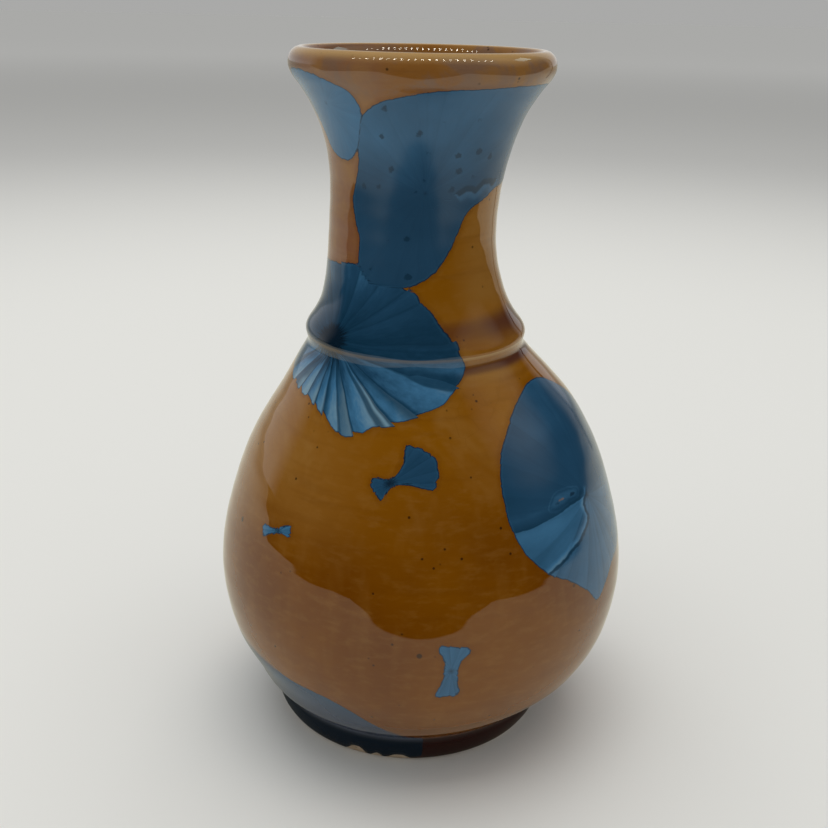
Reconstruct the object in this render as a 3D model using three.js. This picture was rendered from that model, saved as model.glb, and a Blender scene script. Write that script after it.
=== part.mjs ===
// Ceramic bud vase: a wheel-thrown stoneware bottle under a crystalline glaze.
// Millimetres, +Z up, origin on the table under the middle of the belly, front towards -Y.
import * as THREE from 'three';

// Driving dimensions
const HEIGHT = 150;
const FOOT_R = 30.2;
const FOOT_BORE_R = 25.2;
const FOOT_RECESS_R = 24.2;
const FOOT_RECESS = 2.6;
const FLOOR_Z = 9.2;
const BELLY_R = 46.3;
const BELLY_Z = 36;
const RIDGE_R = 23.9;
const RIDGE_Z = 92.2;
const NECK_R = 17.6;
const NECK_Z = 117;
const BORE_R = 13.3;
const LIP_R = 26.9;
const LIP_Z = 146.6;
const CREST_R = 24.7;
const GLAZE = 0.8;
const SEGMENTS = 40;

// Glazed surface as [radius, height]: up the outside from the foot to the lip's crest,
// then down the inside to the middle of the floor. Each section starts where the one before ends.
const OUTSIDE = {
  foot: [[31.3, 1.2], [32.7, 4.4], [33.3, 8.0], [34.6, 9.3]],
  belly: [
    [37.9, 13], [41.2, 18], [44.4, 25], [BELLY_R, BELLY_Z], [45.7, 45], [43.1, 55.5], [39.3, 66],
  ],
  shoulder: [[34.3, 75], [28.9, 82.5], [24.8, 88], [23.3, 89.8]],
  collar: [[RIDGE_R, RIDGE_Z - 1.2], [RIDGE_R, RIDGE_Z], [23.2, RIDGE_Z + 1.6], [21.8, 96]],
  neck: [
    [20.2, 99], [18.8, 103.8], [17.9, 109.5], [NECK_R, NECK_Z], [18, 124.8], [19.4, 132], [21.7, 138],
  ],
  lip: [
    [24.4, 142.4], [26.2, 144.7], [LIP_R, LIP_Z], [26.6, 148.4], [25.8, 149.5], [CREST_R, HEIGHT],
  ],
};
const INSIDE = {
  lip: [[23.5, 149.5], [22.5, 147.9], [21.1, 144.6], [18.4, 139.4]],
  neck: [[15.6, 133.4], [13.8, 126], [BORE_R, NECK_Z], [13.6, 108], [14.5, 100], [15.6, 96]],
  collar: [[18, 89.6]],
  shoulder: [[22, 83.4], [27.6, 75.8], [33, 66.5]],
  belly: [[37.6, 55.5], [40.4, 45], [40.9, BELLY_Z], [38.8, 26], [34.8, 18.6], [29.6, 13.4]],
  footCorner: [[23.6, 10.3]],
  floor: [[12, FLOOR_Z + 0.1], [0, FLOOR_Z]],
};

// The pot runs out of true: how far the middle of a ring lies to the side, by height.
const DRIFT = [
  [0, -2.2], [9.3, -1.8], [18, 0], [75, 0], [92, -2.4], [112, -3.5], [135, -2.4], [HEIGHT, -2.1],
];

// Fired colours
const CLAY = { color: 0xc9b899, roughness: 0.9, metalness: 0 };
const AMBER_GLAZE = { color: 0x7a4a14, roughness: 0.08, metalness: 0 };
const LINER_GLAZE = { color: 0x6b3f16, roughness: 0.12, metalness: 0 };

function driftAt(z) {
  const next = DRIFT.findIndex(([height]) => height >= z);
  if (next <= 0) return DRIFT[0][1];
  const [lowZ, lowX] = DRIFT[next - 1];
  const [highZ, highX] = DRIFT[next];
  const share = (z - lowZ) / (highZ - lowZ);
  const eased = share * share * (3 - 2 * share);
  return lowX + (highX - lowX) * eased;
}

// The clay surface lies one glaze thickness below the glazed one, measured square to it.
function clayUnder(surface) {
  return surface.map(([r, z], i) => {
    const before = surface[Math.max(i - 1, 0)];
    const after = surface[Math.min(i + 1, surface.length - 1)];
    const run = Math.hypot(after[0] - before[0], after[1] - before[1]);
    const left = -(after[1] - before[1]) / run;
    const up = (after[0] - before[0]) / run;
    return r === 0 ? [0, z - GLAZE] : [r + left * GLAZE, z + up * GLAZE];
  });
}

// Revolves a [radius, height] outline that climbs the outside and comes down the inside.
function thrown(name, outline, material) {
  const onAxis = outline[0][0] === 0;
  const closed = onAxis ? outline : [...outline, outline[0]];
  const points = closed.map(([r, z]) => new THREE.Vector2(r, z));
  const geometry = new THREE.LatheGeometry(points, SEGMENTS);
  geometry.rotateX(Math.PI / 2);
  const position = geometry.attributes.position;
  for (let i = 0; i < position.count; i += 1) {
    position.setX(i, position.getX(i) + driftAt(position.getZ(i)));
  }
  const mesh = new THREE.Mesh(geometry, new THREE.MeshStandardMaterial(material));
  mesh.name = name;
  return mesh;
}

const glazeLine = [...Object.values(OUTSIDE).flat(), ...Object.values(INSIDE).flat()];
const clayLine = clayUnder(glazeLine);

// Index of the last point of each section along the lines above.
function sectionEnds(sections, start) {
  let index = start - 1;
  return Object.fromEntries(Object.entries(sections).map(([name, points]) => {
    index += points.length;
    return [name, index];
  }));
}
const outer = sectionEnds(OUTSIDE, 0);
const inner = sectionEnds(INSIDE, outer.lip + 1);

// A ring of clay wall between two cuts, each running from the outside to the inside.
function wall(outerLow, outerHigh, innerHigh, innerLow) {
  return [
    ...clayLine.slice(outerLow, outerHigh + 1),
    ...clayLine.slice(innerHigh, innerLow + 1),
  ];
}

const footOutline = [
  [FOOT_BORE_R, 0],
  [FOOT_R, 0],
  ...wall(0, outer.foot, inner.belly, inner.footCorner),
  [FOOT_RECESS_R, FOOT_RECESS],
];
const floorOutline = [
  [0, FOOT_RECESS],
  [FOOT_RECESS_R, FOOT_RECESS],
  ...clayLine.slice(inner.footCorner, inner.floor + 1),
];
const coatOutline = [
  ...glazeLine.slice(0, outer.lip + 1),
  ...clayLine.slice(0, outer.lip + 1).reverse(),
];
const linerOutline = [
  ...clayLine.slice(outer.lip).reverse(),
  ...glazeLine.slice(outer.lip),
];

const vase = new THREE.Group();
vase.name = 'ceramic_bud_vase';
vase.add(
  thrown('foot_ring', footOutline, CLAY),
  thrown('base_floor', floorOutline, CLAY),
  thrown('belly_wall', wall(outer.foot, outer.belly, inner.shoulder, inner.belly), CLAY),
  thrown('shoulder_wall', wall(outer.belly, outer.shoulder, inner.collar, inner.shoulder), CLAY),
  thrown('collar_ridge', wall(outer.shoulder, outer.collar, inner.neck, inner.collar), CLAY),
  thrown('neck_wall', wall(outer.collar, outer.neck, inner.lip, inner.neck), CLAY),
  thrown('lip_roll', wall(outer.neck, outer.lip, outer.lip + 1, inner.lip), CLAY),
  thrown('glaze_coat', coatOutline, AMBER_GLAZE),
  thrown('glaze_liner', linerOutline, LINER_GLAZE),
);

export default vase;
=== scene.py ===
# %% [markdown]
# # A ceramic bud vase with a crystalline glaze
# A potter threw this vase on a wheel, trimmed its foot, and fired it under a glaze that grows
# blue crystals as it cools. Everything round comes from one rule: a line drawn on paper and
# turned about an upright axis. So the pieces are turned by one Geometry Nodes wheel, and what
# the kiln did afterwards, crystals, specks and pooled glass, is laid on as attributes that the
# materials read. The pooled glass also carries painted shade at the foot and under the collar
# ridge, and painted highlight where the glass runs thin.

import math

import bpy
import numpy as np
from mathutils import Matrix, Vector


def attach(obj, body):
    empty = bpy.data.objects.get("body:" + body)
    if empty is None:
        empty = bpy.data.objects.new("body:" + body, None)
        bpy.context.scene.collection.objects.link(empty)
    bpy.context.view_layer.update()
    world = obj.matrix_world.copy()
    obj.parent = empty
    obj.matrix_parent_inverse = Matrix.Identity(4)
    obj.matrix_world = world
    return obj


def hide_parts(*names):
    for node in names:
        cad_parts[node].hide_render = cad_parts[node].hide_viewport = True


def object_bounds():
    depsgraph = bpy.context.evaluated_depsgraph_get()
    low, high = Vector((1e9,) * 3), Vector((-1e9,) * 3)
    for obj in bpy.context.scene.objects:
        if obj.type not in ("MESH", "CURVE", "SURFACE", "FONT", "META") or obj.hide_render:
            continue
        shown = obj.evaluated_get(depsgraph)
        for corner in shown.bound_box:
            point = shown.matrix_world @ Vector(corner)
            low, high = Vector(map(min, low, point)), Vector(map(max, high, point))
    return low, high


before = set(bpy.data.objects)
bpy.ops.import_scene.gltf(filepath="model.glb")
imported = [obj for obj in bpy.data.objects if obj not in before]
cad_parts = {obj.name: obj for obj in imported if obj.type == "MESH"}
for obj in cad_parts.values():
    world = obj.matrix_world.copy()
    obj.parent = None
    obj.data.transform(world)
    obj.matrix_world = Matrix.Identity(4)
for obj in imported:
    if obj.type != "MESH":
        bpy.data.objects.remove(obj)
CAD_BOX = [list(corner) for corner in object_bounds()]
MM = 0.001
print("nodes:", sorted(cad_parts))
print("height of the vase in mm:", round((CAD_BOX[1][2] - CAD_BOX[0][2]) / MM, 2))

# %% [markdown]
# ## The drawn line
# The glazed surface is one line of radius and height: up the outside from the foot, over the
# lip, and down the inside. Few points are drawn, and a smooth curve passes through them, as a
# throwing rib would. Where the pot has a crease, under the belly and under the collar, points
# sit close together, so the curve turns quickly there. The line keeps inside the frame's solids.

# %% The line of the glazed surface, in millimetres
OUTSIDE_LINE = [
    (31.2, 1.2), (31.9, 2.4), (32.6, 4.4), (33.0, 6.4), (33.0, 7.6), (33.4, 8.4), (34.7, 9.4),
    (37.9, 13.0), (41.2, 18.0), (44.4, 25.0), (46.3, 36.0), (45.7, 45.0), (43.1, 55.5),
    (39.3, 66.0), (34.3, 75.0), (28.9, 82.5), (25.0, 87.6), (24.2, 88.7), (23.72, 89.4),
    (23.52, 90.0), (23.6, 90.8), (23.85, 91.9), (23.9, 92.6), (23.5, 93.6), (21.8, 96.0),
    (20.2, 99.0), (18.8, 103.8), (17.9, 109.5), (17.6, 117.0), (18.0, 124.8), (19.4, 132.0), (21.7, 138.0),
    (24.4, 142.4), (26.1, 144.6), (26.8, 146.3), (26.75, 147.9), (26.0, 149.2), (24.7, 149.9),
]
INSIDE_LINE = [
    (23.5, 149.5), (22.5, 147.9), (21.1, 144.6), (18.4, 139.4), (15.6, 133.4), (13.8, 126.0),
    (13.3, 117.0), (13.6, 108.0), (14.5, 100.0), (15.6, 96.0), (18.0, 89.6), (22.0, 83.4),
    (27.6, 75.8), (33.0, 66.5), (37.6, 55.5), (40.4, 45.0), (40.9, 36.0), (38.8, 26.0),
    (34.8, 18.6), (29.6, 13.4), (23.6, 10.3), (12.0, 9.3), (0.0, 9.2),
]
MOUTH_SEAM = 3
DRIFT_HEIGHTS = [0.0, 9.3, 18.0, 75.0, 92.0, 112.0, 135.0, 150.0]
DRIFT_OFFSETS = [-2.2, -1.8, 0.0, 0.0, -2.4, -3.5, -2.4, -2.1]
print(len(OUTSIDE_LINE), "points outside,", len(INSIDE_LINE), "inside")


# %% Helpers for drawn lines
def drift(height):
    """How far sideways the middle of the pot lies at a height: it was thrown a little off true."""
    height = np.asarray(height, float)
    step = np.clip(np.searchsorted(DRIFT_HEIGHTS, height) - 1, 0, len(DRIFT_HEIGHTS) - 2)
    low = np.take(DRIFT_HEIGHTS, step)
    share = np.clip((height - low) / (np.take(DRIFT_HEIGHTS, step + 1) - low), 0.0, 1.0)
    eased = share * share * (3.0 - 2.0 * share)
    start = np.take(DRIFT_OFFSETS, step)
    return start + (np.take(DRIFT_OFFSETS, step + 1) - start) * eased


def smooth_line(points, spacing):
    """A centripetal Catmull-Rom curve through the points, resampled at about this spacing."""
    points = np.asarray(points, float)
    first = 2.0 * points[0] - points[1]
    last = 2.0 * points[-1] - points[-2]
    padded = np.vstack([first, points, last])
    drawn = []
    for i in range(1, len(padded) - 2):
        p0, p1, p2, p3 = padded[i - 1:i + 3]
        t1 = np.linalg.norm(p1 - p0) ** 0.5
        t2 = t1 + np.linalg.norm(p2 - p1) ** 0.5
        t3 = t2 + np.linalg.norm(p3 - p2) ** 0.5
        count = max(2, int(math.ceil(np.linalg.norm(p2 - p1) / spacing)))
        t = np.linspace(t1, t2, count, endpoint=False)[:, None]
        a1 = (t1 - t) / t1 * p0 + t / t1 * p1
        a2 = (t2 - t) / (t2 - t1) * p1 + (t - t1) / (t2 - t1) * p2
        a3 = (t3 - t) / (t3 - t2) * p2 + (t - t2) / (t3 - t2) * p3
        b1 = (t2 - t) / t2 * a1 + t / t2 * a2
        b2 = (t3 - t) / (t3 - t1) * a2 + (t - t1) / (t3 - t1) * a3
        drawn.append((t2 - t) / (t2 - t1) * b1 + (t - t1) / (t2 - t1) * b2)
    drawn.append(points[-1:])
    return np.vstack(drawn)


def sunk(line, depth):
    """The same line moved square to itself, into the clay."""
    ahead = np.gradient(line, axis=0)
    ahead /= np.linalg.norm(ahead, axis=1)[:, None]
    inward = np.stack([-ahead[:, 1], ahead[:, 0]], axis=1)
    moved = line + inward * depth
    moved[:, 0] = np.where(line[:, 0] < 0.01, 0.0, np.maximum(moved[:, 0], 0.0))
    return moved


coat_face = smooth_line(OUTSIDE_LINE + INSIDE_LINE[:MOUTH_SEAM + 1], 0.9)
liner_face = smooth_line(INSIDE_LINE[MOUTH_SEAM:], 1.8)
print("points on the outside face:", len(coat_face), "inside face:", len(liner_face))

# %% [markdown]
# ## The wheel
# Every round piece is turned by one Geometry Nodes tree. It takes the drawn line as loose
# points, each holding a radius, its sideways drift and a height, and lays a grid over it: one
# direction of the grid walks along the line, the other walks round the axis. Two small faults
# make it look thrown: a slow out-of-round swell and a faint spiral left by the fingers. A lathe
# modifier could turn the line too, but it has no place for those faults. Nodes are added in
# code by a small helper, a bench, so that each step of a tree reads as one line.


# %% A bench for nodes
def new_tree(name, inputs):
    """An empty Geometry Nodes tree that takes a line and the named sizes."""
    tree = bpy.data.node_groups.new(name, "GeometryNodeTree")
    tree.interface.new_socket(name="Line", in_out="INPUT", socket_type="NodeSocketGeometry")
    for label, kind, value in inputs:
        socket = tree.interface.new_socket(name=label, in_out="INPUT", socket_type=kind)
        if value is not None:
            socket.default_value = value
    tree.interface.new_socket(name="Geometry", in_out="OUTPUT", socket_type="NodeSocketGeometry")
    return tree


class Bench:
    """Adds nodes to a tree and joins them."""

    def __init__(self, tree):
        self.tree = tree

    def add(self, kind, links=None, **settings):
        """A new node, with its settings made and its inputs fed."""
        node = self.tree.nodes.new(kind)
        for key, value in settings.items():
            setattr(node, key, value)
        for key, value in (links or {}).items():
            self.feed(node.inputs[key], value)
        return node

    def feed(self, socket, value):
        """Joins an output to a socket, or sets the socket to a plain value."""
        if isinstance(value, bpy.types.NodeSocket):
            self.tree.links.new(value, socket)
        elif isinstance(value, bpy.types.Node):
            self.tree.links.new(value.outputs[0], socket)
        else:
            socket.default_value = value

    def math(self, operation, a, b=None, c=None, clamp=False):
        links = {0: a}
        if b is not None:
            links[1] = b
        if c is not None:
            links[2] = c
        return self.add("ShaderNodeMath", links, operation=operation, use_clamp=clamp).outputs[0]

    def times(self, a, b):
        return self.math("MULTIPLY", a, b)

    def plus(self, a, b):
        return self.math("ADD", a, b)

    def line(self, value, slope, start):
        """The value times a slope, plus a start."""
        return self.math("MULTIPLY_ADD", value, slope, start)

    def swing(self, value, size):
        """A value that runs from 0 to 1, moved to swing about zero by a size."""
        return self.times(self.math("SUBTRACT", value, 0.5), size)


print("bench ready for trees of geometry and of finishes")

# %% The wheel's node tree
wheel = new_tree("potters_wheel", [
    ("Line Points", "NodeSocketInt", 100),
    ("Turn Steps", "NodeSocketInt", 240),
    ("Swell", "NodeSocketFloat", 0.00018),
    ("Finger Spiral", "NodeSocketFloat", 0.000014),
    ("Spiral Rise", "NodeSocketFloat", 0.0052),
    ("Seed", "NodeSocketFloat", 7.0),
    ("Finish", "NodeSocketMaterial", None),
])
bench = Bench(wheel)
given = bench.add("NodeGroupInput")
columns = bench.plus(given.outputs["Turn Steps"], 1.0)
sheet = bench.add("GeometryNodeMeshGrid", {
    "Size X": 1.0, "Size Y": 1.0, "Vertices X": given.outputs["Line Points"], "Vertices Y": columns,
})
place = bench.add("ShaderNodeSeparateXYZ", {0: bench.add("GeometryNodeInputPosition")})
row_share = bench.plus(place.outputs["X"], 0.5)
last_row = bench.math("SUBTRACT", given.outputs["Line Points"], 1.0)
row = bench.math("ROUND", bench.times(row_share, last_row))
turn = bench.times(bench.plus(place.outputs["Y"], 0.5), 2.0 * math.pi)
sample = bench.add("GeometryNodeSampleIndex", {
    "Geometry": given.outputs["Line"], "Value": bench.add("GeometryNodeInputPosition"), "Index": row,
}, data_type="FLOAT_VECTOR", domain="POINT")
drawn = bench.add("ShaderNodeSeparateXYZ", {0: sample})
side = bench.math("SINE", turn)
front = bench.times(bench.math("COSINE", turn), -1.0)
where = bench.add("ShaderNodeCombineXYZ", {
    0: bench.times(side, 0.8),
    1: bench.times(front, 0.8),
    2: bench.times(drawn.outputs["Z"], 14.0),
})
swell_noise = bench.add("ShaderNodeTexNoise", {
    "Vector": where, "W": given.outputs["Seed"], "Scale": 1.0, "Detail": 1.0,
}, noise_dimensions="4D")
swell = bench.swing(swell_noise, given.outputs["Swell"])
climb_turns = bench.math("DIVIDE", drawn.outputs["Z"], given.outputs["Spiral Rise"])
spiral_angle = bench.line(climb_turns, 2.0 * math.pi, turn)
spiral = bench.times(bench.math("SINE", spiral_angle), given.outputs["Finger Spiral"])
off_axis = bench.math("MULTIPLY", drawn.outputs["X"], 60.0, clamp=True)
fault = bench.times(bench.line(swell, 2.0, spiral), off_axis)
radius = bench.plus(drawn.outputs["X"], fault)
thrown_place = bench.add("ShaderNodeCombineXYZ", {
    0: bench.line(radius, side, drawn.outputs["Y"]),
    1: bench.times(radius, front),
    2: drawn.outputs["Z"],
})
thrown_sheet = bench.add("GeometryNodeSetPosition", {"Geometry": sheet, "Position": thrown_place})
closed = bench.add("GeometryNodeMergeByDistance", {"Geometry": thrown_sheet, "Distance": 2e-6})
smoothed = bench.add("GeometryNodeSetShadeSmooth", {"Geometry": closed, "Shade Smooth": True})
realized = bench.add("GeometryNodeRealizeInstances", {"Geometry": smoothed})
finished = bench.add("GeometryNodeSetMaterial", {
    "Geometry": realized, "Material": given.outputs["Finish"],
})
bench.add("NodeGroupOutput", {"Geometry": finished})
print("wheel nodes:", len(wheel.nodes))


# %% Turning one piece on the wheel
TURN_STEPS = 288
PLAIN_STEPS = 160
WHEEL_SEED = 3.0
CREASE_ANGLE = 50


def enclosed_volume(mesh):
    """Signed volume in cubic millimetres: it is positive when the faces look outwards."""
    mesh.calc_loop_triangles()
    count = len(mesh.loop_triangles)
    corners = np.empty(count * 3, dtype=np.int32)
    mesh.loop_triangles.foreach_get("vertices", corners)
    places = points_of(mesh)[corners].reshape(count, 3, 3)
    return float(np.einsum("ij,ij->i", places[:, 0], np.cross(places[:, 1], places[:, 2])).sum() / 6)


def points_of(mesh):
    """Every point of a mesh, in millimetres."""
    flat = np.empty(len(mesh.vertices) * 3)
    mesh.vertices.foreach_get("co", flat)
    return flat.reshape(-1, 3) / MM


def throw(name, line, finish, steps, **settings):
    """Turns a closed line of radius and height, in millimetres, into a finished mesh object."""
    profile = bpy.data.meshes.new(name + "_line")
    rows = [(r * MM, float(drift(z)) * MM, z * MM) for r, z in line]
    profile.from_pydata(rows, [], [])
    turned = bpy.data.objects.new(name, profile)
    bpy.context.scene.collection.objects.link(turned)
    modifier = turned.modifiers.new("wheel", "NODES")
    modifier.node_group = wheel
    values = {"Line Points": len(rows), "Turn Steps": steps, "Finish": finish, **settings}
    for item in wheel.interface.items_tree:
        if item.in_out == "INPUT" and item.name in values:
            modifier[item.identifier] = values[item.name]
    seen = turned.evaluated_get(bpy.context.evaluated_depsgraph_get())
    mesh = bpy.data.meshes.new_from_object(seen)
    mesh.name = name
    turned.modifiers.remove(modifier)
    turned.data = mesh
    if enclosed_volume(mesh) < 0:
        mesh.flip_normals()
    mesh.set_sharp_from_angle(angle=math.radians(CREASE_ANGLE))
    print(name, "faces:", len(mesh.polygons), "volume mm3:", round(enclosed_volume(mesh)))
    return turned


# %% [markdown]
# ## Where the crystals grew
# Each blue patch is a zinc crystal that spread from one seed across the molten glass until it
# met another, or the kiln cooled. A patch is drawn as an outline on the surface, in degrees
# round the pot from the front and millimetres up. From it every point of the mesh learns four
# things: how deep it lies inside a patch, where it lies from that patch's seed, how near it is
# to the line where two patches met, and the patch's kind, which says how pleated, how pale and
# how starred it is. Pleats and tone may change with height, so they are lists of pairs. These
# vary smoothly, so a coarse mesh can carry them, and the material cuts the crisp edge.

# %% Outlines of the crystals seen from the front
PATCHES = {
    "neck_field": {"seed": (6, 124), "stars": 1.0,
        "pleats": [(0, 0.06)], "tones": [(122, 0.33), (134, 0.50)],
        "outline": [
        (-28, 139), (-20, 141), (-11, 142), (4, 143.4), (24, 143.8), (50, 144.2), (80, 144.2),
        (100, 140), (106, 131), (94, 126), (78, 124.2), (62, 123.9), (52, 122.2), (42, 121.0),
        (35, 119.2), (32, 116.5), (27, 113), (18, 109), (8, 106.6), (-1, 105.5), (-14, 104),
        (-34, 104), (-37, 109.5), (-36, 114), (-41, 118), (-44, 121.6), (-41, 125.5),
        (-38, 128.6), (-37, 133.5), (-33, 137)]},
    "left_patch": {"seed": (-52, 140), "pleats": [(0, 0.06)], "stars": 0.0, "tones": [(130, 0.62)],
        "outline": [
        (-78, 146), (-60, 146.3), (-46, 145.2), (-34, 143.4), (-29, 140.4), (-31, 136),
        (-36, 132), (-45, 129), (-56, 129.4), (-66, 131), (-74, 137)]},
    "collar_fan": {"seed": (-48, 93.6), "stars": 0.0,
        "pleats": [(88, 1.0), (92, 0.55), (98, 0.4)],
        # Below the ridge the tones darken towards it, painted shade under the ridge.
        "tones": [(82, 0.76), (86.5, 0.58), (88.4, 0.38), (89.6, 0.5), (91.4, 0.36), (92.6, 0.03),
                  (96, 0.12), (102, 0.22), (106, 0.36)],
        "outline": [
        (-104, 101), (-92, 107), (-78, 108.3), (-64, 108), (-50, 109), (-38, 109.4),
        (-20, 107.5), (-1, 105.5), (7, 102), (13, 99.5), (18, 97.5), (24, 94.6), (27, 90.6),
        (24, 87.4), (16, 85.4), (10, 83.8), (4, 82.4), (-6, 80.5), (-18, 79.4), (-26, 77.4),
        (-31, 76.6), (-39, 78.4), (-49, 81), (-60, 82), (-72, 82.2), (-86, 84), (-100, 89)]},
    "side_fan": {"seed": (58, 62.5), "pleats": [(58, 0.18), (66, 0.1)], "stars": 0.0,
        "tones": [(50, 0.5), (60, 0.54), (65, 0.34), (74, 0.34), (84, 0.42)],
        "outline": [
        (57, 85), (47, 83.6), (40, 82), (35, 80.2), (28, 77), (25, 74), (23.6, 69), (24, 64),
        (26, 59.8), (29, 56), (34, 52.1), (39, 49.5), (45, 47), (50, 43.6), (54.6, 39.4),
        (60, 42), (66, 45), (75, 45.5), (88, 49), (98, 56), (101, 65), (96, 73), (88, 78.5),
        (78, 82.5), (68, 84.8)]},
    "bow_tie": {"seed": (-10.4, 71), "pleats": [(0, 0.25)], "stars": 0.0, "tones": [(71, 0.36)],
        "outline": [
        (-16.8, 70.6), (-15, 68.8), (-12.3, 67.4), (-11, 69.3), (-9.4, 70.4), (-5, 70.9),
        (-1, 70.4), (3.2, 69.8), (4.8, 72.5), (4, 75.4), (1, 76.8), (-3, 77.4), (-6.2, 77.6),
        (-6.9, 75), (-8, 73.2), (-10, 71.9), (-13, 71.5), (-16, 71.8)]},
    "bow_tie_small": {"seed": (-44, 57.1), "pleats": [(0, 0.2)], "stars": 0.0, "tones": [(57, 0.66)],
        "outline": [
        (-50.8, 57.2), (-47, 57), (-44, 57.7), (-41, 59.2), (-39.4, 59.4), (-38.6, 57.4),
        (-39.3, 56.4), (-41, 56.9), (-44, 56.5), (-47, 55.6), (-49.4, 54.1), (-50.6, 54.9)]},
    "bow_tie_tall": {"seed": (7.7, 34.6), "pleats": [(0, 0.15)], "stars": 0.0, "tones": [(34, 0.56)],
        "outline": [
        (4.4, 41.1), (8, 40.4), (12.5, 40), (12.8, 38.6), (10.5, 37.2), (9.5, 35), (9.6, 32),
        (10.7, 28.6), (9.5, 27.4), (7, 28), (4.5, 27.4), (3.7, 28.6), (5.5, 32), (6, 35),
        (5.8, 37.5), (4.2, 39.3)]},
    "foot_wedge": {"seed": (-62, 12), "pleats": [(0, 0.08)], "stars": 0.0, "tones": [(9, 0.1), (16, 0.34)],
        "outline": [
        (-112, 14), (-100, 23), (-75, 26.5), (-51, 25), (-39, 23.6), (-28, 23.2), (-21, 21),
        (-13, 16), (-4, 12), (3, 9), (6, 5), (6, -2), (-20, -2), (-60, -2), (-100, -2),
        (-112, 2)]},
}
SIDE_CRACK = [(58, 63.4), (54.5, 61.2), (56, 58.2), (53.2, 56.8), (50, 55), (46.5, 54.4),
              (40.5, 52.6), (34.5, 51.0)]
SIDE_FOLD = [(25.5, 61.0), (31, 61.1), (37, 61.6), (43, 62.2), (50, 62.6), (56, 62.8)]
SIDE_EYE = [(38.2, 63.2), (40, 65), (44, 66.3), (50, 66.2), (54.4, 65), (53.4, 63.7), (49.8, 63.2),
            (44.5, 62.9), (40.8, 62.8)]
NECK_CRACK = [(27, 123.6), (33, 124.6), (38, 124.5), (41, 124.0), (47, 125.7), (54, 125.6),
              (57, 124.9), (61, 125.9)]
print("front crystals:", len(PATCHES))


# %% [markdown]
# ## Crystals round the back
# The back has crystals of the same two sorts: full blooms and young bow ties. Drawing each by
# hand would take long and add nothing, so a bloom is a circle pushed out of round by a few
# slow waves with a fixed seed, and a bow is one shape turned and sized to its place.

# %% Crystals round the back
RADIAN_IN_DEGREES = 57.3
FACE_CLIMB = np.concatenate([[0.0], np.cumsum(np.linalg.norm(np.diff(coat_face, axis=0), axis=1))])
CREST = int(np.argmax(coat_face[:, 1]))


def radius_at(height):
    """Radius of the outside face at a height."""
    return np.interp(height, coat_face[:CREST + 1, 1], coat_face[:CREST + 1, 0])


def degrees_across(height):
    """Degrees round the pot for one millimetre across at a height."""
    return RADIAN_IN_DEGREES / float(radius_at(height))


def climb_at(height):
    """Length along the outside face from the foot to a height."""
    return np.interp(height, coat_face[:CREST + 1, 1], FACE_CLIMB[:CREST + 1])


def bloom(bearing, height, reach, stretch, seed):
    """An uneven rounded outline about a seed that lies off its middle."""
    rng = np.random.default_rng(seed)
    angles = np.linspace(0.0, 2.0 * math.pi, 28, endpoint=False)
    swell = 1.0 + rng.normal(0, 0.025, len(angles))
    for waves, size in ((2, 0.12), (3, 0.10), (5, 0.05)):
        swell += size * np.sin(waves * angles + rng.uniform(0, 6))
    shift_x, shift_y = rng.uniform(-0.4, 0.4, 2) * reach
    around = degrees_across(height)
    pleats = rng.uniform(0.2, 0.45)
    tones = [(height - reach, rng.uniform(0.45, 0.7)), (height + reach, rng.uniform(0.25, 0.4))]
    outline = [(bearing + around * (shift_x + reach * stretch * s * math.cos(a)),
                height + shift_y + reach * s * math.sin(a)) for a, s in zip(angles, swell)]
    return {"seed": (bearing, height), "pleats": [(0, pleats)], "stars": 0.3, "tones": tones,
            "outline": outline}


def bow(bearing, height, length, lean, width):
    """An outline of two flared ends and a waist, the first shape a young crystal takes."""
    shape = [(-1, -0.6), (-0.75, -0.5), (-0.3, -0.26), (0, -0.2), (0.3, -0.26), (0.75, -0.5),
             (1, -0.7), (1.1, 0), (1, 0.55), (0.75, 0.5), (0.3, 0.26), (0, 0.2), (-0.3, 0.26),
             (-0.75, 0.5), (-1, 0.65), (-1.08, 0)]
    around = degrees_across(height)
    cos, sin = math.cos(math.radians(lean)), math.sin(math.radians(lean))
    outline = [(bearing + around * length * (u * cos - v * width * sin),
                height + length * (u * sin + v * width * cos)) for u, v in shape]
    return {"seed": (bearing, height), "pleats": [(0, 0.2)], "stars": 0.0,
            "tones": [(height, 0.5)], "outline": outline}


PATCHES.update({
    "back_bloom": bloom(170, 60, 19, 1.2, 11),
    "back_fan": bloom(-142, 38, 14, 1.3, 22),
    "back_neck": bloom(-150, 120, 14, 1.2, 13),
    "back_collar": bloom(146, 95, 12, 1.3, 24),
    "back_shoulder": bloom(-116, 74, 10, 1.0, 15),
    "back_foot": bloom(134, 15, 11, 1.6, 16),
    "back_lip": bloom(150, 141, 8, 1.6, 17),
    "bow_back": bow(114, 36, 4.6, 35, 0.6),
    "bow_low": bow(178, 22, 4.2, 75, 0.6),
})
print("all crystals:", len(PATCHES))

# %% [markdown]
# ## Measuring distance on the pot
# The wall can be unrolled near any one crystal: across is the angle times the pot's radius at
# that height, and up is the length climbed along the wall. Distances there are nearly true, so
# ordinary flat geometry tells how far a point is from an outline or from a crack.


# %% Distances to an outline or a line
FAR = 30.0


def unrolled(bearing, height, seed):
    """Flat millimetres across and up from a seed, for points at bearings and heights."""
    away = (np.asarray(bearing) - seed[0] + 180.0) % 360.0 - 180.0
    across = np.radians(away) * radius_at(height)
    return np.stack([across, climb_at(height) - climb_at(seed[1])], axis=-1)


def rounded_outline(points, rounds=2):
    """Cuts an outline's corners a little, leaving small points where petals meet."""
    points = np.asarray(points, float)
    for _ in range(rounds):
        ahead = np.roll(points, -1, axis=0)
        points = np.stack([0.8 * points + 0.2 * ahead, 0.2 * points + 0.8 * ahead], axis=1)
        points = points.reshape(-1, 2)
    return points


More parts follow.
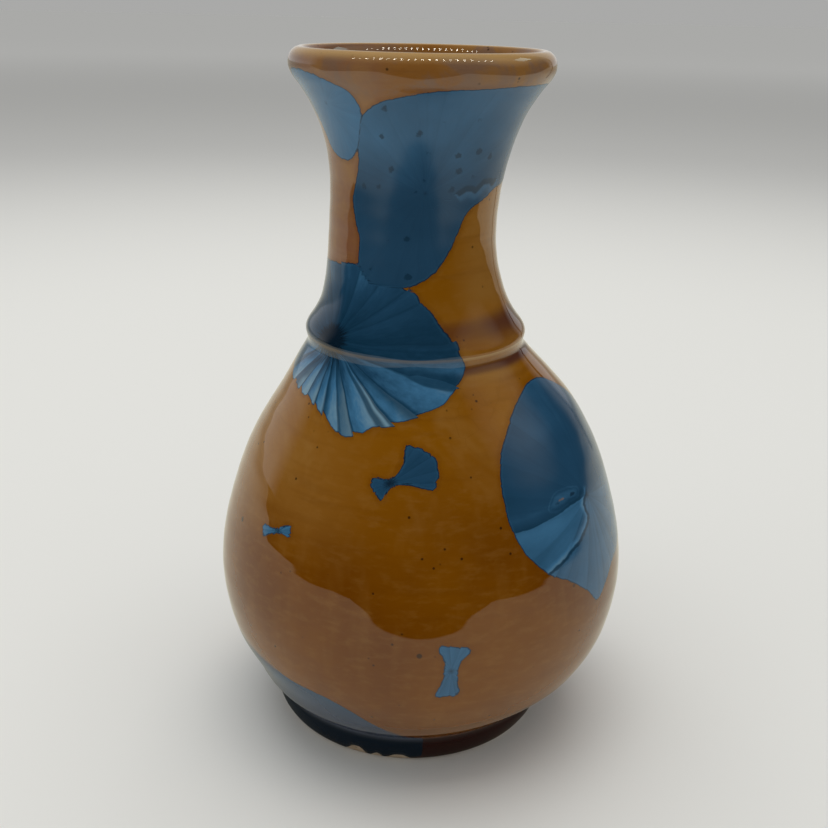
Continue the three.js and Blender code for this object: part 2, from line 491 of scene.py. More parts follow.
def depth_inside(points, outline):
    """Signed distance in millimetres from each flat point to an outline, positive inside."""
    nearest = np.full(len(points), 1e9)
    inside = np.zeros(len(points), bool)
    for start, end in zip(outline, np.roll(outline, -1, axis=0)):
        edge = end - start
        share = np.clip((points - start) @ edge / max(edge @ edge, 1e-9), 0.0, 1.0)
        gap = points - start - share[:, None] * edge
        nearest = np.minimum(nearest, np.einsum("ij,ij->i", gap, gap))
        if start[1] != end[1]:
            crosses = (start[1] > points[:, 1]) != (end[1] > points[:, 1])
            at = start[0] + (points[:, 1] - start[1]) / (end[1] - start[1]) * edge[0]
            inside ^= crosses & (points[:, 0] < at)
    distance = np.sqrt(nearest)
    return np.where(inside, distance, -distance)


def line_gap(points, line):
    """Signed distance in millimetres to an open line, and a share that fades past its ends."""
    nearest = np.full(len(points), 1e9)
    signed = np.zeros(len(points))
    past = np.zeros(len(points))
    for number, (start, end) in enumerate(zip(line[:-1], line[1:])):
        edge = end - start
        away = points - start
        share = away @ edge / (edge @ edge)
        gap = away - np.clip(share, 0.0, 1.0)[:, None] * edge
        distance = np.linalg.norm(gap, axis=1)
        side_of = np.where(edge[0] * away[:, 1] - edge[1] * away[:, 0] < 0, -1.0, 1.0)
        over = np.zeros(len(points))
        if number == 0:
            over = np.maximum(over, -share)
        if number == len(line) - 2:
            over = np.maximum(over, share - 1.0)
        closer = distance < nearest
        nearest = np.where(closer, distance, nearest)
        signed = np.where(closer, distance * side_of, signed)
        past = np.where(closer, over * np.linalg.norm(edge), past)
    return signed, np.clip(1.0 - past, 0.0, 1.0)


# %% [markdown]
# ## What each point learns
# A point belongs to the crystal it lies deepest in, and the gap to the second deepest tells how
# near the meeting line is. Each crystal also gets its own number, so that no two share petals.
# Far points get one plain distance, which saves measuring every point against every outline.
# The numbers go to the mesh as attributes, which a material can read by name.

# %% What each point learns
OUTLINE_MARGIN = 8.0
OWN_NUMBER_STEP = 3.7
SIDE_REACH = 40.0
NECK_REACH = 25.0
PAST_THE_END = 4.0


def crystal_fields(bearing, height):
    """For each point: depth in a patch, place from its seed, meeting gap and kind."""
    count = len(bearing)
    best = np.full(count, -FAR)
    second = np.full(count, -FAR)
    petal = np.zeros((count, 3))
    kind = np.zeros((count, 3))
    for number, patch in enumerate(PATCHES.values()):
        seed = patch["seed"]
        flat = unrolled(bearing, height, seed)
        corners = np.asarray(patch["outline"], float)
        outline = rounded_outline(unrolled(corners[:, 0], corners[:, 1], seed))
        near = (flat > outline.min(axis=0) - OUTLINE_MARGIN).all(axis=1)
        near &= (flat < outline.max(axis=0) + OUTLINE_MARGIN).all(axis=1)
        depth = np.full(count, -FAR)
        depth[near] = depth_inside(flat[near], outline)
        wins = depth > best
        second = np.where(wins, best, np.maximum(second, depth))
        best = np.where(wins, depth, best)
        petal[wins, :2] = flat[wins]
        petal[wins, 2] = number * OWN_NUMBER_STEP
        kind[wins, 0] = np.interp(height[wins], *zip(*patch["pleats"]))
        kind[wins, 1] = np.interp(height[wins], *zip(*patch["tones"]))
        kind[wins, 2] = patch["stars"]
    return best, petal, best - second, kind


def crack_fields(bearing, height):
    """Two vectors: side crack gap, its share, eye depth; and fold gap, its share, neck gap."""
    seed = PATCHES["side_fan"]["seed"]
    flat = unrolled(bearing, height, seed)
    drawn = [np.asarray(line, float) for line in (SIDE_CRACK, SIDE_FOLD, SIDE_EYE)]
    crack, fold, eye = [unrolled(line[:, 0], line[:, 1], seed) for line in drawn]
    near = np.abs(flat).max(axis=1) < SIDE_REACH
    crack_gap = np.tile([FAR, 0.0, -FAR], (len(flat), 1))
    fold_gap = np.tile([FAR, 0.0, FAR], (len(flat), 1))
    crack_gap[near, 0], crack_gap[near, 1] = line_gap(flat[near], crack)
    fold_gap[near, 0], fold_gap[near, 1] = line_gap(flat[near], fold)
    crack_gap[near, 2] = depth_inside(flat[near], rounded_outline(eye))
    neck_seed = PATCHES["neck_field"]["seed"]
    neck_flat = unrolled(bearing, height, neck_seed)
    neck_crack = np.asarray(NECK_CRACK, float)
    near = np.abs(neck_flat).max(axis=1) < NECK_REACH
    gap, share = line_gap(neck_flat[near], unrolled(neck_crack[:, 0], neck_crack[:, 1], neck_seed))
    fold_gap[near, 2] = gap + np.sign(gap) * PAST_THE_END * (1.0 - share)
    return crack_gap, fold_gap


def bearing_of(points):
    """Degrees round the pot from the front, positive to the right."""
    return np.degrees(np.arctan2(points[:, 0] - drift(points[:, 2]), -points[:, 1]))


def write_attribute(mesh, name, values):
    """Stores one number or one vector for each point of a mesh."""
    vector = values.ndim == 2
    kind = "FLOAT_VECTOR" if vector else "FLOAT"
    layer = mesh.attributes.new(name, kind, "POINT")
    layer.data.foreach_set("vector" if vector else "value", values.astype(np.float32).ravel())


print("cracks and folds drawn:", len((SIDE_CRACK, SIDE_FOLD, SIDE_EYE, NECK_CRACK)))

# %% [markdown]
# ## Node helper for finishes
# Every finish is built from nodes in code. One small class adds a node, sets it and joins it,
# so that a recipe reads from top to bottom.


# %% Finish helper
class Recipe(Bench):
    """A new material whose nodes are added one by one."""

    def __init__(self, name):
        self.material = bpy.data.materials.new(name)
        self.material.use_nodes = True
        super().__init__(self.material.node_tree)
        self.tree.nodes.clear()
        self.shader = self.add("ShaderNodeBsdfPrincipled")
        output = self.add("ShaderNodeOutputMaterial")
        self.feed(output.inputs["Surface"], self.shader)
        self.place = self.add("ShaderNodeTexCoord").outputs["Object"]

    def noise(self, vector, scale, detail=3.0, roughness=0.5, distortion=0.0):
        """Cloudy noise, from 0 to 1."""
        node = self.add("ShaderNodeTexNoise", {
            "Vector": vector, "Scale": scale, "Detail": detail, "Roughness": roughness,
            "Distortion": distortion})
        return node.outputs[0]

    def cells(self, vector, scale, feature="F1", randomness=1.0):
        """Distance in a pattern of cells."""
        node = self.add("ShaderNodeTexVoronoi", {
            "Vector": vector, "Scale": scale, "Randomness": randomness}, feature=feature)
        return node.outputs["Distance"]

    def stretch(self, vector, factors):
        """A place scaled along each axis."""
        return self.add("ShaderNodeVectorMath", {0: vector, 1: factors},
                        operation="MULTIPLY").outputs[0]

    def ramp(self, value, low, high, smooth=True):
        """From 0 where the value is low to 1 where it is high."""
        node = self.add("ShaderNodeMapRange", {"Value": value, "From Min": low, "From Max": high})
        node.interpolation_type = "SMOOTHSTEP" if smooth else "LINEAR"
        return node.outputs[0]

    def blend(self, factor, a, b, mode="MIX"):
        """From the first colour to the second by a factor."""
        node = self.add("ShaderNodeMix", data_type="RGBA", blend_type=mode)
        node.clamp_factor = True
        self.feed(node.inputs["Factor"], factor)
        self.feed(node.inputs[6], a)
        self.feed(node.inputs[7], b)
        return node.outputs[2]

    def attribute(self, name, output="Fac"):
        """What the mesh learned under a name."""
        return self.add("ShaderNodeAttribute", attribute_name=name).outputs[output]

    def bump(self, height, distance, strength=1.0):
        """A normal that makes a height look raised."""
        node = self.add("ShaderNodeBump", {
            "Height": height, "Distance": distance, "Strength": strength})
        return node.outputs[0]

    def finish(self, **sockets):
        """Feeds the shader and hands back the material."""
        for name, value in sockets.items():
            self.feed(self.shader.inputs[name.replace("_", " ")], value)
        print("finish:", self.material.name, "nodes:", len(self.tree.nodes))
        return self.material


# %% [markdown]
# ## The crystal glaze
# The glaze is clear amber glass over pale clay, with the crystals grown inside it, so it has one
# smooth wet gloss nearly all over and its colour lies underneath. That is a principled shader
# with a clear coat: the coat gives the sharp reflection, and the layer under it is softer and
# carries the pattern. The colours are linear, from the deepest blue to the palest and from dark
# pooled glass to the thin gold on the ridges. The dark pooled colours also serve as painted
# shade at the foot and under the collar ridge, and the thin gold on the ridge and above the
# foot as a painted highlight.

# %% Glaze colours
AMBER = (0.203, 0.066, 0.0010, 1.0)
AMBER_DEEP = (0.150, 0.043, 0.0008, 1.0)
AMBER_LIGHT = (0.280, 0.103, 0.003, 1.0)
AMBER_PALE = (0.330, 0.165, 0.040, 1.0)
# Thin glaze on edges; on the collar ridge and above the foot it is also a painted highlight.
CREST_GOLD_AND_HIGHLIGHT = (0.480, 0.300, 0.120, 1.0)
LIP_TAN = (0.205, 0.118, 0.074, 1.0)
NECK_ROSE = (0.210, 0.105, 0.085, 1.0)
OXBLOOD = (0.018, 0.0025, 0.002, 1.0)
PLUM = (0.100, 0.034, 0.020, 1.0)
SPECK = (0.016, 0.007, 0.003, 1.0)
FOOT_GREY_REFLECTION = (0.078, 0.070, 0.092, 1.0)
BLUE_INK = (0.003, 0.009, 0.018, 1.0)
BLUE_DEEP = (0.005, 0.034, 0.070, 1.0)
BLUE = (0.017, 0.071, 0.142, 1.0)
BLUE_SKY = (0.056, 0.188, 0.345, 1.0)
BLUE_ICE = (0.190, 0.330, 0.430, 1.0)


# %% [markdown]
# ### Petals and fibres
# Each crystal is a fan of fibres from its seed, folded like pleated cloth. The place from the
# seed, divided by its own length, is a heading. Cells laid over the heading give every petal a
# chance number, a slope from one side to the other and a crease where it meets the next one,
# and noise over the heading draws the fibres. In the colour the slope is painted shade, lighter
# on one side of each fold and darker on the other, and the crease is a painted shaded line. An
# image could hold the petals too, but it would stretch on the round wall and blur when seen
# from near.

# %% Petals about a seed
PETAL_SCALE = 3.5
HEART_LIMIT = 4.6


class Crystal:
    """What the recipe knows about the crystal at a point: its kind, reach, heading and petal."""

    def __init__(self, r):
        kind = r.add("ShaderNodeSeparateXYZ", {0: r.attribute("crystal_kind", "Vector")})
        self.pleats = kind.outputs["X"]
        self.tone = kind.outputs["Y"]
        self.starred = kind.outputs["Z"]
        flat = r.add("ShaderNodeSeparateXYZ", {0: r.attribute("crystal_place", "Vector")})
        x, y, own = flat.outputs["X"], flat.outputs["Y"], flat.outputs["Z"]
        self.reach = r.math("SQRT", r.line(x, x, r.times(y, y)))
        away = r.plus(self.reach, 0.15)
        bend = r.swing(r.noise(r.place, 150.0, 1.0), 0.045)
        heading_x = r.plus(r.math("DIVIDE", x, away), bend)
        heading_y = r.plus(r.math("DIVIDE", y, away), bend)
        self.heading = r.add("ShaderNodeCombineXYZ", {0: heading_x, 1: heading_y, 2: own})
        along = r.line(self.reach, 0.022, own)
        fibre_place = r.add("ShaderNodeCombineXYZ", {0: heading_x, 1: heading_y, 2: along})
        self.fibres = r.noise(fibre_place, 17.0, 3.0, 0.6, 0.25)
        petal = r.add("ShaderNodeTexVoronoi", {"Vector": self.heading, "Scale": PETAL_SCALE})
        self.chance = r.add("ShaderNodeSeparateColor", {0: petal.outputs["Color"]}).outputs[0]
        middle = r.add("ShaderNodeSeparateXYZ", {0: petal.outputs["Position"]})
        across = r.math("SUBTRACT", r.times(heading_x, middle.outputs["Y"]),
                        r.times(heading_y, middle.outputs["X"]))
        # Painted shade across each petal: light on one side of the fold and dark on the other.
        self.slope = r.ramp(across, 0.16, -0.16)
        self.crease = r.cells(self.heading, PETAL_SCALE, "DISTANCE_TO_EDGE")
        self.fine = r.noise(r.place, 900.0, 2.0, 0.6)

    def edge(self, r, depth):
        """Millimetres inside the true edge, which the petals scallop and noise makes ragged."""
        scallop = r.line(r.ramp(self.crease, 0.0, 0.32), 0.9, -0.75)
        step = r.line(self.slope, 0.7, r.plus(self.chance, -0.85))
        petal_edge = r.times(r.plus(scallop, step), self.pleats)
        roam = r.line(self.pleats, 0.6, 0.25)
        wander = r.swing(r.noise(self.heading, 9.0, 2.0, 0.6), roam)
        ragged = r.plus(r.swing(self.fine, 0.45), wander)
        return r.plus(r.plus(depth, ragged), petal_edge)

    def level(self, r):
        """How pale the blue is, from 0 for deep to 1 for ice: painted shade on the folds, fibres and slow
        clouds.
        """
        facet_tone_and_shade = r.line(self.chance, 0.42, r.line(self.slope, 0.58, -0.5))
        contrast = r.times(r.line(self.tone, 0.95, 0.25), self.pleats)
        level = r.line(facet_tone_and_shade, contrast, self.tone)
        outward = r.times(r.ramp(self.reach, 2.0, 14.0), self.pleats)
        level = r.plus(level, r.line(outward, 0.20, -0.06))
        silk = r.swing(self.fibres, r.line(self.pleats, 0.45, 0.025))
        cloud = r.swing(r.noise(r.place, 70.0, 2.0, 0.5), 0.34)
        return r.plus(r.plus(level, silk), cloud)

    def heart(self, r):
        """The dark rayed heart about the seed, larger in a pleated crystal."""
        ray = r.swing(r.noise(self.heading, 24.0, 2.0, 0.7), 15.0)
        size = r.math("MINIMUM", r.line(r.times(self.pleats, self.pleats), 18.0, 0.3), HEART_LIMIT)
        return r.ramp(r.math("SUBTRACT", r.line(ray, self.pleats, self.reach), size), 0.4, -1.2)

    def stars(self, r):
        """Small dark stars scattered over the smoothest crystals."""
        star = r.plus(r.swing(self.fine, 0.30), r.cells(r.place, 200.0))
        here = r.ramp(r.noise(r.place, 60.0, 1.0), 0.38, 0.44)
        return r.times(r.times(r.ramp(star, 0.17, 0.10), here), self.starred)

    def satin(self, r):
        """How much the smooth crystals blur what they mirror."""
        return r.line(self.starred, 0.06, r.line(self.pleats, -0.13, 0.14))


# %% [markdown]
# ### Cracks and folds
# Two crystals tore and wrinkled as the glass shrank under them. A crack is a dark line with a
# raised lip on one side, and the eye is a small wrinkle that opens on the amber. Cutting them
# into the mesh would need far finer faces than the rest of the pot, so they are gaps in an
# attribute, roughened by the same noise, and their relief is painted into the blue: the crack's
# lip is lighter, a painted highlight, and a fold is darker above and lighter below, painted
# shade and painted highlight.

# %% Cracks and folds
class Cracks:
    """Signed gaps in millimetres to the cracks and the fold, and how far inside the eye."""

    def __init__(self, r):
        crack = r.add("ShaderNodeSeparateXYZ", {0: r.attribute("side_crack", "Vector")})
        fold = r.add("ShaderNodeSeparateXYZ", {0: r.attribute("side_fold", "Vector")})
        jag = r.swing(r.noise(r.place, 420.0, 2.0), 1.3)
        self.crack = r.plus(crack.outputs["X"], jag)
        self.crack_share = crack.outputs["Y"]
        self.eye = r.line(jag, 0.8, crack.outputs["Z"])
        self.fold = r.line(jag, 0.5, fold.outputs["X"])
        self.fold_share = fold.outputs["Y"]
        self.neck = r.line(jag, 0.3, fold.outputs["Z"])

    def shade(self, r, level):
        """Paints a highlight on the raised lips and shade in the hollows beside each line."""
        crack_lip_highlight = r.times(r.ramp(self.crack, -1.9, -0.5), r.ramp(self.crack, -0.1, -0.35))
        level = r.line(r.times(crack_lip_highlight, self.crack_share), 0.30, level)
        above = r.times(r.ramp(self.fold, 2.6, 0.15), r.ramp(self.fold, -0.1, 0.1))
        below = r.times(r.ramp(self.fold, -4.5, -0.3), r.ramp(self.fold, 0.1, -0.1))
        fold_shade = r.line(below, 0.16, r.times(above, -0.26))
        level = r.line(fold_shade, self.fold_share, level)
        neck_lip_highlight = r.times(r.ramp(self.neck, -2.6, -1.0), r.ramp(self.neck, -0.2, -0.7))
        level = r.line(neck_lip_highlight, 0.16, level)
        eye_rim = r.ramp(r.math("ABSOLUTE", self.eye), 0.34, 0.05)
        level = r.line(eye_rim, 0.09, level)
        return r.line(r.ramp(self.eye, 0.2, 1.0), 0.14, level)

    def ink(self, r, blue):
        """Draws the dark lines of the cracks, the eye's slit and its amber heart."""
        side_line = r.times(r.ramp(r.math("ABSOLUTE", self.crack), 0.6, 0.2), self.crack_share)
        neck_line = r.ramp(r.math("ABSOLUTE", self.neck), 0.85, 0.35)
        lines = r.math("MAXIMUM", side_line, neck_line)
        blue = r.blend(r.times(lines, 0.85), blue, BLUE_DEEP)
        broken = r.ramp(r.noise(r.place, 330.0, 1.0), 0.42, 0.56)
        slit = r.times(r.ramp(self.eye, 0.9, 1.2), broken)
        blue = r.blend(r.times(slit, 0.7), blue, BLUE_INK)
        return r.blend(r.times(r.ramp(self.eye, 1.45, 1.7), 0.5), blue, AMBER_PALE)


# %% Crystal blue
def crystal_blue(r, crystal, edge, pool_and_shade):
    """The blue inside a crystal, from its folds out to the dark line at its edge."""
    cracks = Cracks(r)
    level = cracks.shade(r, crystal.level(r))
    blue = r.blend(r.ramp(level, 0.0, 0.33, smooth=False), BLUE_DEEP, BLUE)
    blue = r.blend(r.ramp(level, 0.33, 0.72, smooth=False), blue, BLUE_SKY)
    blue = r.blend(r.ramp(level, 0.72, 1.1, smooth=False), blue, BLUE_ICE)
    # A painted shaded line in the crease between petals.
    crease_shade = r.times(r.ramp(crystal.crease, 0.075, 0.02), r.times(crystal.pleats, 0.75))
    blue = r.blend(crease_shade, blue, BLUE_DEEP)
    blue = r.blend(r.times(crystal.heart(r), 0.85), blue, BLUE_INK)
    blue = r.blend(r.times(r.ramp(edge, 0.75, 0.3), 0.10), blue, BLUE_SKY)
    blue = r.blend(r.times(r.ramp(edge, 0.34, 0.06), 0.8), blue, BLUE_INK)
    meeting_line = r.times(r.ramp(r.attribute("crystal_meeting"), 0.5, 0.1), 0.6)
    blue = r.blend(meeting_line, blue, BLUE_INK)
    blue = cracks.ink(r, blue)
    blue = r.blend(r.times(crystal.stars(r), 0.8), blue, BLUE_DEEP)
    up = r.add("ShaderNodeSeparateXYZ", {0: r.place}).outputs["Z"]
    # Below 28 mm the blue greys: a painted reflection of the pale table.
    blue = r.blend(r.times(r.ramp(up, 0.028, 0.014), 0.5), blue, FOOT_GREY_REFLECTION)
    # Ink where the pool amount is high: pooled glass, and painted shade at the foot and under the ridge.
    return r.blend(r.ramp(pool_and_shade, 0.75, 1.3), blue, BLUE_INK)


# %% [markdown]
# ### Amber glass
# Between the crystals the glass is amber, darker where it lies thick, and that darkening is
# also painted shade at the foot and in the crease under the collar ridge. It is paler high on
# the shoulder, rosy at the left of the neck and tan at its right, where the tan is a painted
# reflection, patched with tan on the lip, and faintly brushed by the way it ran. The plum step
# in the thick glass is partly a painted iridescent sheen. Dark specks are iron in the clay, and
# fine crazing is the glass shrinking. Each is a mask from noise, cells or height that blends in
# one more colour.

# %% Amber glass
def amber_tones(r, up, right):
    """The slow changes of colour over the pot, up in metres and right in metres."""
    drift_noise = r.noise(r.place, 28.0, 3.0, 0.55)
    amber = r.blend(r.ramp(drift_noise, 0.35, 0.68), AMBER_DEEP, AMBER)
    amber = r.blend(r.times(r.ramp(up, 0.048, 0.086), 0.85), amber, AMBER_LIGHT)
    rose = r.times(r.ramp(right, -0.006, -0.014), r.ramp(up, 0.100, 0.110))
    amber = r.blend(r.times(rose, 0.55), amber, NECK_ROSE)
    # Painted reflection: a tan veil over the right of the neck.
    tan_reflection = r.times(r.ramp(right, 0.003, 0.011), r.ramp(up, 0.096, 0.104))
    amber = r.blend(r.times(tan_reflection, 0.6), amber, AMBER_PALE)
    golden = r.times(r.ramp(r.noise(r.place, 38.0, 4.0, 0.65, 0.5), 0.47, 0.68),
                     r.ramp(up, 0.045, 0.080))
    amber = r.blend(r.times(golden, 0.65), amber, AMBER_PALE)
    shoulder = r.times(r.ramp(up, 0.050, 0.066), r.ramp(up, 0.094, 0.086))
    left_gold = r.times(r.ramp(right, -0.006, -0.026), shoulder)
    amber = r.blend(r.times(left_gold, 0.35), amber, AMBER_PALE)
    return amber, drift_noise


def amber_texture(r, up, amber):
    """Mottling, brush marks, throwing rings and the tan patches of the lip."""
    mottle = r.noise(r.stretch(r.place, (1.0, 1.0, 2.6)), 260.0, 3.0, 0.6)
    amber = r.blend(r.times(r.ramp(mottle, 0.45, 0.75), 0.18), amber, AMBER_PALE)
    brushed = r.noise(r.stretch(r.place, (1.0, 1.0, 0.12)), 240.0, 2.0, 0.6)
    amber = r.blend(r.times(r.ramp(brushed, 0.5, 0.75), 0.11), amber, AMBER_PALE)
    ringed = r.noise(r.stretch(r.place, (0.10, 0.10, 1.0)), 420.0, 2.0, 0.6)
    amber = r.blend(r.times(r.ramp(ringed, 0.5, 0.75), 0.22), amber, AMBER_DEEP)
    lip_patches = r.ramp(r.noise(r.place, 70.0, 4.0, 0.65, 1.0), 0.42, 0.60)
    lip_share = r.times(r.ramp(up, 0.1400, 0.1440), r.line(lip_patches, 0.65, 0.25))
    return r.blend(lip_share, amber, LIP_TAN)


def specks(r):
    """Small and large dark specks, in clusters."""
    small = r.times(r.ramp(r.cells(r.place, 420.0), 0.16, 0.07),
                    r.ramp(r.noise(r.place, 180.0, 1.0), 0.56, 0.62))
    large = r.times(r.ramp(r.cells(r.place, 120.0), 0.085, 0.05),
                    r.ramp(r.noise(r.place, 45.0, 1.0), 0.55, 0.58))
    return r.math("MAXIMUM", small, large)


def amber_glass(r, edge, pool_and_shade):
    """The amber glass between the crystals, with its faults and darker pools, which also carry painted
    shade.
    """
    where = r.add("ShaderNodeSeparateXYZ", {0: r.place})
    up = where.outputs["Z"]
    amber, drift_noise = amber_tones(r, up, where.outputs["X"])
    amber = amber_texture(r, up, amber)
    amber = r.blend(r.times(r.ramp(edge, -1.2, -0.1), 0.35), amber, AMBER_DEEP)
    amber = r.blend(r.times(specks(r), 0.8), amber, SPECK)
    craze = r.cells(r.stretch(r.place, (1.0, 1.0, 1.5)), 210.0, "DISTANCE_TO_EDGE")
    craze_fade = r.ramp(r.noise(r.place, 40.0, 2.0), 0.5, 0.7)
    crazing = r.times(r.times(r.ramp(craze, 0.03, 0.0), craze_fade), 0.15)
    amber = r.blend(crazing, amber, AMBER_DEEP)
    # The thick amount is pooled glass plus painted shade at the foot and in the crease under the ridge.
    thick_and_shaded = r.plus(r.swing(drift_noise, 0.5), pool_and_shade)
    # Plum in the thick glass is partly a painted iridescent sheen.
    amber = r.blend(r.ramp(thick_and_shaded, 0.25, 0.75), amber, PLUM)
    return r.blend(r.ramp(thick_and_shaded, 0.7, 1.05), amber, OXBLOOD)


# %% The whole glaze
def crystal_glaze():
    """Amber glass outside the crystals and blue inside, with one clear coat over both."""
    r = Recipe("crystal_glaze")
    pool_and_shade = r.attribute("glaze_pool_and_shade")
    crystal = Crystal(r)
    edge = crystal.edge(r, r.attribute("crystal_depth"))
    inside = r.ramp(edge, -0.06, 0.06)
    blue = crystal_blue(r, crystal, edge, pool_and_shade)
    colour = r.blend(inside, amber_glass(r, edge, pool_and_shade), blue)
    # Thin gold on edges, partly a painted highlight on the ridge and above the foot.
    thin_and_highlight = r.times(r.ramp(pool_and_shade, -0.15, -0.85), r.line(inside, -0.65, 0.85))
    colour = r.blend(thin_and_highlight, colour, CREST_GOLD_AND_HIGHLIGHT)
    relief = r.times(r.plus(r.swing(crystal.fibres, 0.35), 0.25), inside)
    normal = r.bump(relief, 0.00022, 0.5)
    under = r.line(r.times(crystal.fibres, inside), 0.2, 0.25)
    satin = r.times(crystal.satin(r), inside)
    # The coat is cut back where the pool and painted shade are strongest, so the foot mirrors less.
    matt_foot = r.line(r.ramp(pool_and_shade, 0.9, 1.4), -0.65, 1.0)
    return r.finish(Base_Color=colour, Roughness=under, Normal=normal, IOR=1.5,
                    Coat_Weight=r.line(satin, -0.9, matt_foot),
                    Coat_Roughness=r.plus(satin, 0.02), Coat_IOR=1.5, Specular_IOR_Level=0.0)


# %% [markdown]
# ## The liner glaze and the bare clay
# Inside, the same amber glass runs thinner and has no crystals worth showing, only mottling and
# specks. The clay shows on the foot's standing edge and its recess: a fine buff stoneware with
# dark iron grains, matt, and scored by the trimming tool.

# %% Liner and clay recipes
CLAY_BUFF = (0.52, 0.43, 0.32, 1.0)
CLAY_WARM = (0.40, 0.29, 0.19, 1.0)
CLAY_IRON = (0.09, 0.05, 0.03, 1.0)


def liner_glaze():
    """Plain streaky amber glass."""
    r = Recipe("liner_glaze")
    drift_noise = r.noise(r.place, 34.0, 3.0, 0.6)
    colour = r.blend(r.ramp(drift_noise, 0.35, 0.65), AMBER_DEEP, AMBER)
    streaks = r.noise(r.stretch(r.place, (1.0, 1.0, 0.25)), 150.0, 3.0, 0.6)
    colour = r.blend(r.times(r.ramp(streaks, 0.45, 0.7), 0.5), colour, AMBER_PALE)
    speck = r.ramp(r.cells(r.place, 380.0), 0.14, 0.06)
    colour = r.blend(r.times(speck, 0.6), colour, SPECK)
    normal = r.bump(r.noise(r.place, 110.0, 2.0), 0.0002, 0.4)
    under = r.line(drift_noise, 0.15, 0.2)
    return r.finish(Base_Color=colour, Roughness=under, Normal=normal, IOR=1.5,
                    Coat_Weight=1.0, Coat_Roughness=0.04, Coat_IOR=1.5,
                    Specular_IOR_Level=0.0)


def bare_clay():
    """Matt buff stoneware with iron grains."""
    r = Recipe("bare_clay")
    tone = r.noise(r.place, 120.0, 4.0, 0.6)
    colour = r.blend(r.ramp(tone, 0.3, 0.7), CLAY_WARM, CLAY_BUFF)
    iron = r.times(r.ramp(r.cells(r.place, 520.0), 0.22, 0.1),
                   r.ramp(r.noise(r.place, 210.0, 1.0), 0.52, 0.6))
    colour = r.blend(r.times(iron, 0.8), colour, CLAY_IRON)
    normal = r.bump(r.noise(r.place, 1600.0, 3.0, 0.7), 0.00012, 0.8)
    return r.finish(Base_Color=colour, Roughness=r.line(tone, 0.15, 0.78), Normal=normal,
                    Specular_IOR_Level=0.3)


GLAZE = crystal_glaze()
LINER = liner_glaze()
CLAY = bare_clay()

# %% [markdown]
# ## The outside glaze
# The coat is a thin closed shell: its face is the line from the foot over the lip and a little
# way into the mouth, and its back is the same line sunk into the clay by the glaze's thickness.
# It overlaps the liner glaze inside the mouth, as a dipped glaze does, so no seam shows on the
# lip. The back is never seen, so it takes only every third point.

# %% Turn the coat
GLAZE_THICKNESS = 0.7
HIDDEN_BACK_STEP = 3
coat_back = sunk(coat_face, GLAZE_THICKNESS)[::-HIDDEN_BACK_STEP]
coat_line = np.vstack([coat_face, coat_back, coat_face[:1]])
coat = throw("glaze_skin", coat_line, GLAZE, TURN_STEPS, Seed=WHEEL_SEED)


# %% [markdown]
# ## What gravity and the kiln did to it
# Molten glaze runs: it thins on sharp edges, the collar's ridge, the lip and the step of the
# foot, where the pale clay glows through, and pools in the hollows beside the collar and at the
# foot. The dark pools at the foot and in the crease under the ridge are also painted shade, and
# the thin gold on the ridge and above the foot is also a painted highlight. The foot's edge also
# has a few small chips. The pooling is an attribute for the material, a sum of bands given as
# strength, height and spread, with a little more at the collar's right.
# A chip is a bearing, half width and rise: it moves the coat's lower edge up, so bare clay shows
# below it. Inside the mouth the coat has an even pool and lies clear of every crystal.

# %% Pooling and chips
# The foot band and the band just under the ridge are partly painted shade.
POOLS_AND_SHADE = [(2.1, 2.5, 6.0), (0.35, 97.2, 2.6), (0.5, 89.2, 1.2)]
# Thin edges; the ones on the collar ridge and above the foot are also painted highlights.
THIN_EDGES_AND_HIGHLIGHTS = [(-0.95, 150.4, 2.0), (-1.2, 91.7, 0.45), (-0.9, 8.7, 0.5)]
CHIPS = [(-21.5, 3.4, 1.3), (-12.5, 1.5, 0.7), (-3.5, 3.6, 0.8), (118, 5.0, 1.2), (-150, 4.0, 1.0)]
COLLAR_POOL = (0.35, 94, 6)
CHIP_TOP = 4.6
CHIP_FADE = 3.4
MOUTH_BOTTOM = 130
WELL_INSIDE = 1.5
MOUTH_POOL_HEIGHT = 146.0
CLEAR_HEIGHT = 151.0


def pooled_and_shaded(bearing, height):
    """How thick the glaze lies, with painted shade where it pools at the foot and under the ridge: about
    -1 on a thin edge, 0 on the wall and 2 in the deepest pool.
    """
    amount = np.zeros(len(height))
    for strength, level, spread in POOLS_AND_SHADE + THIN_EDGES_AND_HIGHLIGHTS:
        amount += strength * np.exp(-((height - level) / spread) ** 2)
    right_side = 0.5 + 0.5 * np.sin(np.radians(bearing + 20))
    strength, level, spread = COLLAR_POOL
    collar = np.exp(-((height - level) / spread) ** 2)
    return amount + strength * collar * right_side


def chip_foot_edge(mesh):
    """Lifts the coat's lower edge where the foot is chipped."""
    points = points_of(mesh)
    bearing, height = bearing_of(points), points[:, 2]
    lift = np.zeros(len(points))
    for at, width, rise in CHIPS:
        lift = np.maximum(lift, rise * np.exp(-((bearing - at) / width) ** 4))
    lift *= np.clip((CHIP_TOP - height) / CHIP_FADE, 0.0, 1.0)
    points[:, 2] += lift
    mesh.vertices.foreach_set("co", (points * MM).ravel())
    mesh.update()


